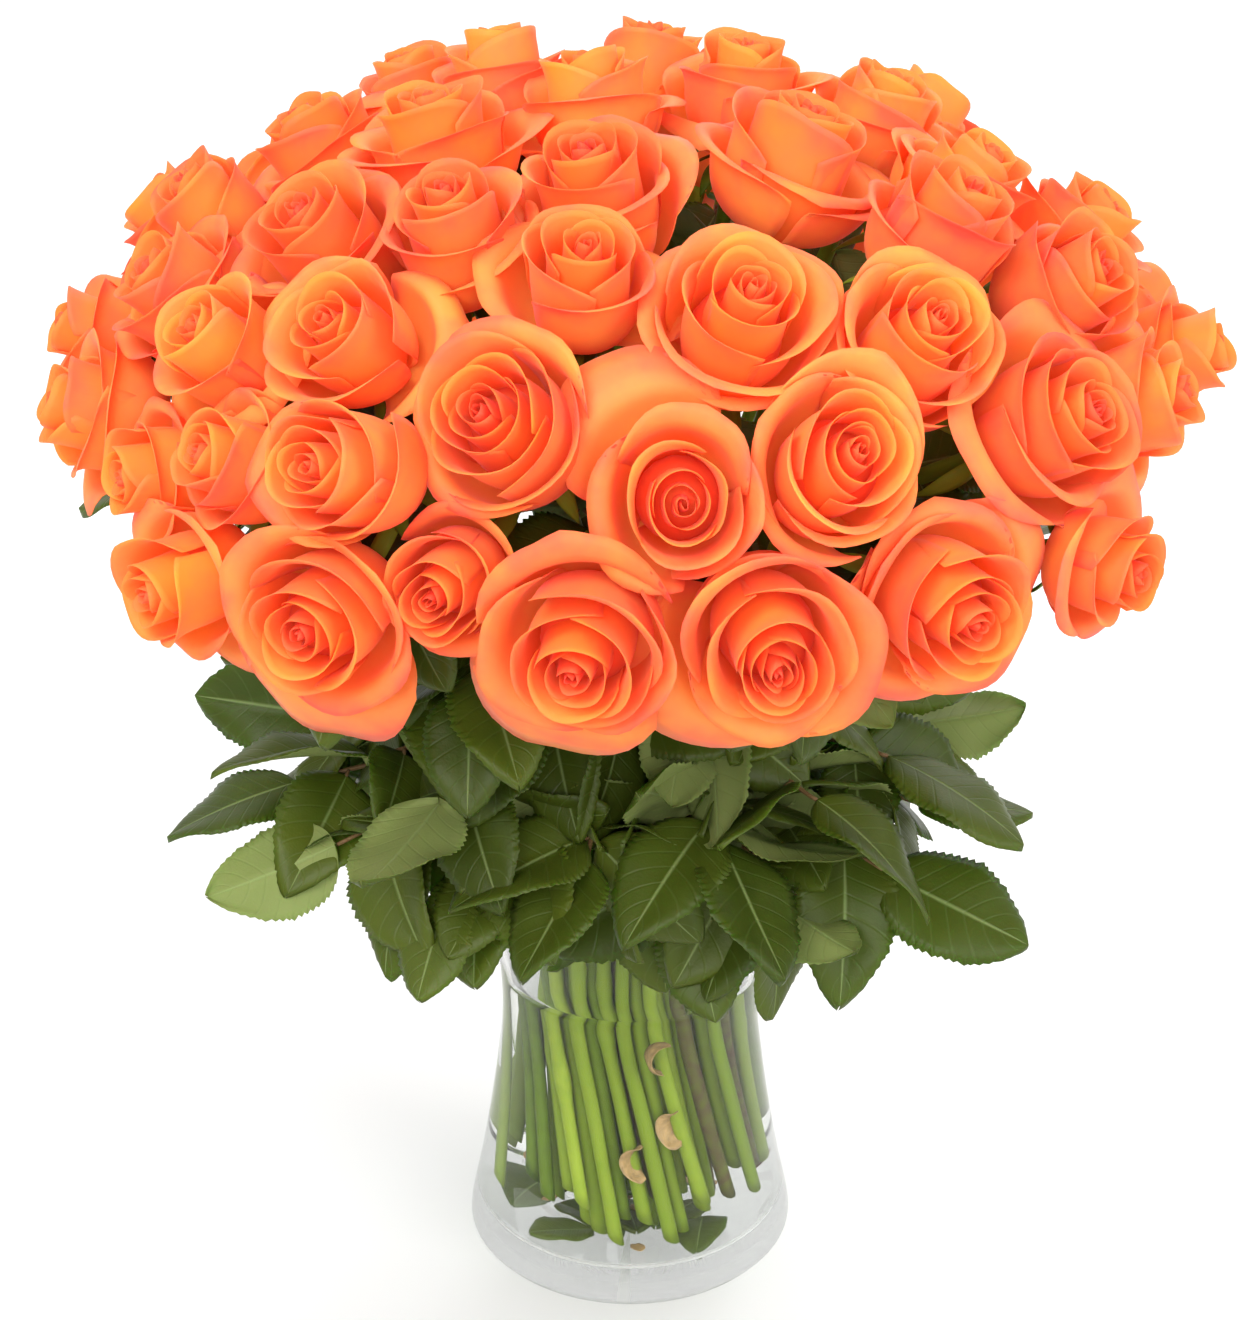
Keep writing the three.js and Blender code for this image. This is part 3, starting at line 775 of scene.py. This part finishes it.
def add_sepals(heap, rose, chance, tone):
    """Five narrow green blades from the rim of the cup, most of them bent back towards the stem."""
    side, other = axes_of(rose["face"])
    start = chance.uniform(0, 2 * np.pi)
    t = np.linspace(0, 1, 12)
    for k in range(SEPALS):
        turn = start + 2 * np.pi * k / SEPALS + chance.normal(0, 0.15)
        outward = math.cos(turn) * side + math.sin(turn) * other
        sideways = np.cross(rose["face"], outward)
        pitch = -0.25 - chance.uniform(0.6, 1.5) * t
        step = SEPAL_LENGTH * chance.uniform(0.75, 1.15) / len(t)
        reach = CUP_RADIUS * 0.8 + np.cumsum(np.cos(pitch)) * step
        rise = np.cumsum(np.sin(pitch)) * step
        middle = rose["base"] + reach[:, None] * outward + rise[:, None] * rose["face"]
        half = SEPAL_WIDTH * np.sin(np.pi * (0.12 + 0.88 * t)) ** 0.7 * (1 - t) ** 0.35 + 0.0002
        across = np.linspace(-1, 1, 5)
        grid = middle[:, None, :] + across[None, :, None] * half[:, None, None] * sideways
        grid = grid - (np.abs(across) * 0.25)[None, :, None] * half[:, None, None] * rose["face"]
        add_sheet(heap, grid, SEPAL_THICKNESS, 0.2, tone)


def add_thorns(heap, line, chance, tone, lowest):
    """A few hooked thorns on the part of the stem above the vase."""
    along = np.gradient(line, axis=0)
    above = np.flatnonzero(line[:, 2] > lowest)
    for k in chance.choice(above[:-6], size=min(THORNS, len(above) - 6), replace=False):
        ahead = unit(along[k])
        out = unit(np.cross(ahead, chance.normal(size=3)))
        t = np.linspace(0, 1, 5)[:, None]
        hook = line[k] + out * (STEM_RADIUS * 0.8 + 0.0045 * t) - ahead * 0.0018 * t**2
        add_tube(heap, hook, 0.0013 * (1 - 0.92 * t[:, 0]), 6, 0.3, tone)


def grow_stem(index, rose):
    """One rose's stem with its joints and thorns, the cup under the bloom, and the sepals."""
    chance = np.random.default_rng(STEM_SEED + index)
    line = smooth_line(rose["line"], STEM_POINTS)
    line[-1] = rose["base"] + rose["face"] * 0.001
    radii = np.full(len(line), STEM_RADIUS) * (1 + 0.04 * np.sin(np.linspace(0, 20, len(line)) + index))
    for joint in chance.choice(np.arange(8, 50), size=JOINTS, replace=False):
        radii += STEM_RADIUS * 0.22 * np.exp(-((np.arange(len(line)) - joint) / 0.7) ** 2)
    from_bloom = np.linalg.norm(line - rose["base"], axis=1)
    radii += (CUP_RADIUS - STEM_RADIUS) * np.clip(1 - from_bloom / CUP_LENGTH, 0, 1) ** 0.6
    tone = chance.uniform()
    heap = Heap()
    add_tube(heap, line, radii, STEM_SIDES, 0.2, tone, slant=chance.uniform(0.4, 1.0))
    add_sepals(heap, rose, chance, min(tone, 0.5))
    add_thorns(heap, line, chance, tone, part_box("vase")[1].z)
    return heap.piece(rose["name"] + "_stem", stem_material, "leaves", rose["name"])


stems = [grow_stem(index, rose) for index, rose in enumerate(roses)]
print("stems:", len(stems))

# %% [markdown]
# ## Leaves
# A rose leaf is compound: a thin reddish stalk with two pairs of leaflets and one at its end. A leaflet
# is an egg-shaped blade with saw teeth that point to its tip, a fold along its midrib and a bow down
# towards the tip. The frame's sprays say where the main ones hang, and more of the same fill the collar
# between them.

# %% One leaflet
LEAF_ROWS, LEAF_COLUMNS = 64, 11
LEAF_THICKNESS = 0.0004
TEETH = 21
TOOTH_DEPTH = 0.085  # as a share of the half width


def leaflet_grid(length, half_width, chance):
    """Points of one leaflet that runs along X with its upper side up."""
    t = np.linspace(0, 1, LEAF_ROWS)
    outline = t**0.6 * (1 - t) ** 0.78
    outline /= outline.max()
    teeth = TOOTH_DEPTH * ((t * TEETH) % 1 - 0.4) * (t > 0.1)
    across = np.linspace(-1, 1, LEAF_COLUMNS)
    half = (half_width * outline + 0.0003)[:, None] * (1 + teeth[:, None] * np.abs(across) ** 12)
    x = length * t[:, None] + 0 * across
    y = half * across
    fold = chance.uniform(0.1, 0.55)
    bow = chance.uniform(-0.05, 0.38)
    wave = np.sin(2 * np.pi * (2.2 * t[:, None] + chance.uniform()))
    ripple = 0.05 * half_width * wave * np.abs(across) ** 1.5
    z = fold * np.abs(y) - bow * length * t[:, None] ** 2 + ripple - 0.18 * half_width * np.abs(across) ** 3
    twist = chance.normal(0, 0.35) * t[:, None]
    return np.stack([x, y * np.cos(twist), z + y * np.sin(twist)], axis=-1)


def add_leaflet(heap, place, heading, up, length, half_width, chance):
    """A leaflet at a place, pointing along heading, its upper side towards up."""
    heading = unit(heading)
    sideways = unit(np.cross(up, heading))
    basis = np.stack([heading, sideways, np.cross(heading, sideways)])
    grid = place + leaflet_grid(length, half_width, chance) @ basis
    add_sheet(heap, grid, LEAF_THICKNESS, 0.5, chance.uniform())


# %% Leaf sprays
STALK_RADIUS = 0.0011
LEAFLET_LENGTH = 0.054
LEAFLET_HALF_WIDTH = 0.0190
PLACES = [(15, 0, 1.0), (11, 1, 0.95), (11, -1, 0.95), (5, 1, 0.8), (5, -1, 0.8)]  # point, side, size
SWING_OUT = math.radians(58)
UNRULY = 0.25  # how far a leaflet strays up or down from its place
TURNED_OVER = 0.14  # share of leaflets that show their pale underside
UP = np.array([0, 0, 1.0])


def grow_spray(name, root, tip, seed, *replaced, pairs=2, size=1.0, lift=0.012):
    """A compound leaf from its root to the tip of its end leaflet."""
    chance = np.random.default_rng(seed)
    outward = tip - root
    outward = unit(np.array([outward[0], outward[1], 0]))
    sideways = np.cross(UP, outward)
    end = tip - 0.9 * size * LEAFLET_LENGTH * unit(tip - root) + lift * UP
    middle = (root + end) / 2 + (lift + 0.1 * max(tip[2] - root[2], 0)) * UP
    line = smooth_line([root, middle, end], 16)
    heap = Heap()
    add_tube(heap, line, np.linspace(STALK_RADIUS * 1.3, STALK_RADIUS * 0.7, len(line)), 7, 0.9, 0.5)
    ahead = np.gradient(line, axis=0)
    for at, turn, share in PLACES[:1 + 2 * pairs]:
        forward = unit(ahead[at])
        up = unit(np.cross(forward, sideways) + chance.normal(0, 0.42, 3))
        swing = SWING_OUT * turn + chance.normal(0, 0.22)
        drop = 0.12 * abs(turn) + chance.normal(0, UNRULY)
        heading = unit(math.cos(swing) * forward + math.sin(swing) * sideways - drop * UP)
        grown = share * size * chance.uniform(0.8, 1.12)
        if turn:
            add_tube(heap, [line[at], line[at] + heading * 0.004], [STALK_RADIUS * 0.7] * 2, 6, 0.9, 0.5)
        start = line[at] + heading * 0.003 * abs(turn)
        facing = -1 if chance.uniform() < TURNED_OVER else 1
        length, half_width = LEAFLET_LENGTH * grown, LEAFLET_HALF_WIDTH * grown
        add_leaflet(heap, start, heading, up * facing, length, half_width, chance)
    return heap.piece(name, leaf_material, "leaves", *replaced)


SPRAY_SEED = 900
spray_nodes = sorted(name for name in nodes if name.startswith("leaf_spray_"))
roots = []
for number, name in enumerate(spray_nodes):
    corners = welded(name)[0]
    reach = np.hypot(corners[:, 0], corners[:, 1])
    roots.append(corners[np.argmin(reach)])
    grow_spray(name + "_leaves", roots[-1], corners[np.argmax(reach)], SPRAY_SEED + number, name)
print("sprays in the frame:", len(spray_nodes))

# %% More sprays to fill the collar
root_radius = np.mean([math.hypot(root[0], root[1]) for root in roots])
root_height = np.mean([root[2] for root in roots])
COLLAR = [  # azimuth from the front, reach of the tip and its rise above the root
    (-62, 0.172, -0.004), (-32, 0.136, -0.004), (16, 0.112, -0.050), (20, 0.145, 0.022), (52, 0.166, -0.010),
    (-10, 0.138, 0.014), (-100, 0.168, 0.014), (98, 0.160, 0.010), (124, 0.158, -0.012), (150, 0.150, 0.020),
    (-128, 0.162, -0.010), (-152, 0.152, 0.014), (-66, 0.150, 0.048), (-42, 0.148, 0.044), (40, 0.150, 0.046),
    (66, 0.152, 0.040), (4, 0.104, -0.030), (36, 0.128, -0.030), (-54, 0.140, -0.014), (170, 0.130, -0.020),
    (110, 0.130, -0.030), (-110, 0.132, -0.030), (-170, 0.150, 0.040), (130, 0.150, 0.046),
]
HIGH_COLLAR = [  # the same, for leaves that start higher up
    (-30, 0.112, 0.012), (-4, 0.108, -0.006), (24, 0.114, 0.010), (56, 0.118, 0.016), (-60, 0.120, 0.018),
    (-92, 0.118, 0.014), (90, 0.118, 0.016), (122, 0.116, 0.012), (156, 0.112, 0.016), (-124, 0.116, 0.012),
    (-158, 0.112, 0.016), (10, 0.096, 0.028), (180, 0.116, 0.030), (140, 0.122, 0.038), (-140, 0.122, 0.036),
    (106, 0.124, 0.040), (-108, 0.124, 0.040), (168, 0.100, 0.008), (-174, 0.120, 0.044), (-76, 0.124, 0.042),
    (74, 0.126, 0.042),
]
HIGH_ROOT = 0.045
COLLAR_SEED = 950
for number, (azimuth, reach, rise) in enumerate(COLLAR + HIGH_COLLAR):
    high = HIGH_ROOT * (number >= len(COLLAR))
    way = np.array([math.sin(math.radians(azimuth)), -math.cos(math.radians(azimuth)), 0])
    root = way * (root_radius - 0.2 * high) + (root_height + high + 0.004 * (number % 4)) * UP
    tip = way * reach + (root_height + high + rise) * UP
    grow_spray(f"collar_leaves_{number + 1:02d}", root, tip, COLLAR_SEED + number)
print("sprays added:", len(COLLAR) + len(HIGH_COLLAR))

# %% [markdown]
# Roses keep some leaves on the stem below the bloom. They close the gaps in the dome, so the bouquet
# looks full from every side, and each is drawn with the same function from a point on its stem.

# %% Leaves below the blooms
STEM_LEAF_STEP = 2  # every second rose keeps a leaf
BELOW_BLOOM = 0.030
LOW_LEAF_BELOW = (0.055, 0.105)
LOW_LEAF_REACH = 0.082
OUTER = 0.105  # a rose further from the middle line than this stands in the outer ring
LEAF_SEED, LEAFLET_SEED = 1200, 1300
LOW_LEAF_SEED, LOW_LEAFLET_SEED = 1500, 1600


def point_on_stem(rose, below):
    """The point of a rose's stem that lies so far from the base of its bloom."""
    line = smooth_line(rose["line"], STEM_POINTS)
    return line[np.argmin(np.abs(np.linalg.norm(line - rose["base"], axis=1) - below))]


def leaf_on_stem(index, rose):
    """A leaf just below a bloom, whose tip lies in the gap towards two of the nearest blooms."""
    chance = np.random.default_rng(LEAF_SEED + index)
    root = point_on_stem(rose, BELOW_BLOOM + 0.02 * chance.uniform())
    others = np.delete(hearts, index, axis=0)
    nearest = others[np.argsort(np.linalg.norm(others - rose["heart"], axis=1))[:3]]
    gap = (nearest[chance.integers(1, 3)] + nearest[0] + rose["heart"]) / 3
    tip = gap - rose["face"] * 0.012
    grow_spray(rose["name"] + "_leaf", root, tip, LEAFLET_SEED + index, pairs=1, size=0.85, lift=0.004)


def low_leaf_on_stem(index, rose):
    """A leaf lower on the stem of an outer rose, which hangs outwards."""
    chance = np.random.default_rng(LOW_LEAF_SEED + index)
    root = point_on_stem(rose, chance.uniform(*LOW_LEAF_BELOW))
    outward = unit(rose["heart"] * [1, 1, 0])
    swing = chance.normal(0, 0.5)
    outward = outward * math.cos(swing) + np.cross(UP, outward) * math.sin(swing)
    tip = root + LOW_LEAF_REACH * outward + chance.uniform(-0.035, 0.012) * UP
    grow_spray(rose["name"] + "_low_leaf", root, tip, LOW_LEAFLET_SEED + index, size=0.95, lift=0.008)


low_leaves = 0
for index, rose in enumerate(roses):
    if index % STEM_LEAF_STEP == 0:
        leaf_on_stem(index, rose)
    if index % STEM_LEAF_STEP == 1 and math.hypot(rose["heart"][0], rose["heart"][1]) > OUTER:
        low_leaf_on_stem(index, rose)
        low_leaves += 1
print("low leaves:", low_leaves)

# %% [markdown]
# ## Glass and water
# The vase is one heavy piece of clear glass, waisted, with a thick foot. A fine turned profile is drawn
# through the frame's own corners, so it keeps the frame's size. The water touches the glass with no air
# between, so its wall is set a hair inside the glass: light then bends once at the glass and once at the
# water, as it really does. Lamps and scattered light pass through both by a transparent shader that only
# shadow and diffuse rays see.

# %% Turned shapes
TURNED_SIDES = 128


def turned(name, profile, material, slot, *replaced):
    """A closed solid of revolution from (radius, height) points that start and end on the axis."""
    heap = Heap()
    inner = np.asarray(profile)[1:-1]
    turn = np.linspace(0, 2 * np.pi, TURNED_SIDES, endpoint=False)
    radius, height = inner[:, :1], inner[:, 1:]
    rings = np.stack([radius * np.cos(turn), radius * np.sin(turn), height + 0 * turn], axis=-1)
    points = np.concatenate([rings.reshape(-1, 3), [[0, 0, profile[0][1]], [0, 0, profile[-1][1]]]])
    heap.add(points, np.full((len(points), 4), 0.5), 0.0, *round_faces(len(inner), TURNED_SIDES))
    return heap.piece(name, material, slot, *replaced)


def meridian(node_name):
    """A turned node's profile as (radius, height), from the axis at its bottom to the axis at its top."""
    points, links = welded(node_name)
    on_plane = {k for k, p in enumerate(points) if abs(p[1]) < 1e-5 and p[0] > -1e-5}
    here = min((k for k in on_plane if abs(points[k][0]) < 1e-5), key=lambda k: points[k][2])
    walk = [here]
    while len(walk) == 1 or points[walk[-1]][0] > 1e-5:
        walk.append(next(k for k in links[walk[-1]] if k in on_plane and k not in walk[-2:]))
    return points[walk][:, [0, 2]]


def follow(points):
    """A smooth, denser line through the points of a curved stretch of profile."""
    return smooth_line(points, 6 * len(points))


RIM_POINTS = 9
vase_profile = meridian("vase")
rim_at = int(np.argmax(vase_profile[:, 1]))
vase_height = vase_profile[rim_at, 1]
wall = vase_profile[rim_at, 0] - vase_profile[rim_at + 1, 0]
floor_height = vase_profile[-1, 1]
outside = follow(vase_profile[1:rim_at + 1])
inside = follow(vase_profile[rim_at + 1:-1])
rim_height = vase_height - wall / 2
outside, inside = outside[outside[:, 1] < rim_height], inside[inside[:, 1] < rim_height]
rim_turn = np.linspace(0, np.pi, RIM_POINTS)
rim_middle = (vase_profile[rim_at, 0] + vase_profile[rim_at + 1, 0]) / 2
rim = np.stack([rim_middle + wall / 2 * np.cos(rim_turn), rim_height + wall / 2 * np.sin(rim_turn)], axis=-1)
print("vase height", round(vase_height, 4), "wall", round(wall, 4), "floor", round(floor_height, 4))

# %% Glass and water materials
tree, inputs, outputs = group("watery ripple", {
    "Scale": ("NodeSocketFloat", 30.0), "Strength": ("NodeSocketFloat", 0.1),
}, {"Height": "NodeSocketFloat"})
where = node(tree, "ShaderNodeNewGeometry").outputs["Position"]
noise = node(tree, "ShaderNodeTexNoise", {"Vector": where, "Scale": inputs.outputs["Scale"], "Detail": 1.0})
rippled = times(tree, noise.outputs[0], inputs.outputs["Strength"])
tree.links.new(rippled, outputs.inputs["Height"])
watery_ripple = tree

CLEAR = (0.99, 0.995, 0.99)
# The grey edge colour is painted shade: it draws the dark outlines that clear glass and water show at their
# edges.
EDGE_SHADE_COLOUR = (0.22, 0.24, 0.23, 1)
EDGE_NARROWNESS = 3.5


def clear_material(name, colour, bend, mirror, ripple, edge_shade):
    """A clear solid that bends light by its index, has painted shade darkening its edges, and lets lamps
    shine through.
    """
    material, shader = principled(name)
    tree = material.node_tree
    settle(shader, {"Roughness": 0.0, "IOR": bend, "Transmission Weight": 1.0,
                    "Specular Tint": (mirror, mirror, mirror, 1)})
    edge_on = node(tree, "ShaderNodeLayerWeight", {"Blend": 0.5}).outputs["Facing"]
    darker = times(tree, maths(tree, "POWER", edge_on, EDGE_NARROWNESS), edge_shade)
    tree.links.new(blend(tree, darker, (*colour, 1), EDGE_SHADE_COLOUR), shader.inputs["Base Color"])
    height = use(tree, watery_ripple, Strength=ripple)["Height"]
    raise_surface(tree, shader, height, 0.3, 0.001)
    ray = node(tree, "ShaderNodeLightPath").outputs
    passing = maths(tree, "MAXIMUM", ray["Is Shadow Ray"], ray["Is Diffuse Ray"])
    show_mixed(tree, passing, shader, "ShaderNodeBsdfTransparent", (*colour, 1))
    return material


glass_material = clear_material("clear_glass", CLEAR, bend=1.5, mirror=0.3, ripple=0.2, edge_shade=1.0)
water_material = clear_material("clear_water", CLEAR, bend=1.33, mirror=0.2, ripple=0.4, edge_shade=0.3)

# %% The vase and its water
INTO_GLASS = 0.00015
MENISCUS = 0.0012
section = [(0, 0), *outside.tolist(), *rim.tolist(), *inside.tolist(), (0, floor_height)]
turned("glass_vase", section, glass_material, "vase_glass", "vase")
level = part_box("water")[1].z
wet = inside[inside[:, 1] < level + MENISCUS][::-1]
wet = wet + np.array([INTO_GLASS, -INTO_GLASS * 0.5])
brim = wet[-1]
surface = [(brim[0], level + MENISCUS), (brim[0] - 0.0008, level + 0.0004), (brim[0] - 0.0025, level),
           (0, level)]
section = [(0, floor_height - INTO_GLASS), *wet.tolist(), *surface]
turned("vase_water", section, water_material, "water", "water")
print("water level", round(level, 4))

# %% [markdown]
# ## Fallen bits
# Where many stems stand in water, scraps come off them: torn leaflets that have sunk to the floor of the
# vase, and brown bud scales and curls of bark caught between the stems. They are tiny sheets, each curled
# along its length.

# %% Scraps on the floor of the vase
SCRAPS = 16
SUNKEN_LEAVES = 8
SCRAP_THICKNESS = 0.0005
CURL_TONE = 0.9
scrap_material, shader = principled("brown_scrap")
tree = scrap_material.node_tree
spot = use(tree, sheet_place)
colour = blend(tree, spot["Tone"], (0.10, 0.035, 0.012, 1), (0.62, 0.40, 0.16, 1))
tree.links.new(blend(tree, use(tree, blotches, Scale=400.0)["Mask"], colour, (0.07, 0.05, 0.02, 1)),
               shader.inputs["Base Color"])
settle(shader, {"Roughness": 0.6})


def add_scrap(heap, place, length, half_width, bend, tone, chance):
    """A curled strip that starts at a place and lies in a direction of its own."""
    t = np.linspace(0, 1, 12)
    turn = bend * t
    x = np.cumsum(np.cos(turn)) * length / len(t)
    z = np.cumsum(np.sin(turn)) * length / len(t)
    half = half_width * np.sin(np.pi * (0.1 + 0.85 * t)) ** 0.6
    across = np.linspace(-1, 1, 5)
    y = half[:, None] * across
    grid = np.stack([x[:, None] + 0 * y, y, z[:, None] + 0.4 * np.abs(y)], axis=-1)
    spin = chance.uniform(0, 2 * np.pi)
    cos, sin = math.cos(spin), math.sin(spin)
    basis = np.array([[cos, sin, 0], [-sin, cos, 0], [0, 0, 1]])
    add_sheet(heap, place + grid @ basis, SCRAP_THICKNESS, 0.5, tone)


def on_vase_floor(spin, reach, above):
    """A point just above the floor of the vase."""
    return np.array([reach * math.cos(spin), reach * math.sin(spin), floor_height + above])


SCRAP_SEED = 77
CURLS = [(0.014, -0.042, 0.100), (0.018, -0.043, 0.064), (0.006, -0.045, 0.050)]  # where bark curls hang
chance = np.random.default_rng(SCRAP_SEED)
brown, green, curled = Heap(), Heap(), Heap()
for place in CURLS:
    add_scrap(curled, np.array(place), 0.024, 0.0050, chance.uniform(2.4, 3.6), CURL_TONE, chance)
curled.piece("bark_curls", scrap_material, "leaves")
for number in range(SCRAPS):
    place = on_vase_floor(chance.uniform(0, 2 * np.pi), 0.040 * chance.uniform() ** 0.5, 0.0012)
    length, half_width = chance.uniform(0.007, 0.013), chance.uniform(0.0015, 0.003)
    add_scrap(brown, place, length, half_width, chance.uniform(-0.2, 1.8), chance.uniform(), chance)
for number in range(SUNKEN_LEAVES):
    place = on_vase_floor(number * GOLDEN_TURN, 0.030 * chance.uniform(0.4, 1) ** 0.5, 0.0015)
    turn = chance.uniform(0, 2 * np.pi)
    heading = np.array([math.cos(turn), math.sin(turn), 0.08])
    add_leaflet(green, place, heading, UP, 0.026, 0.010, chance)
brown.piece("bud_scales", scrap_material, "leaves")
green.piece("sunken_leaf_bits", leaf_material, "leaves")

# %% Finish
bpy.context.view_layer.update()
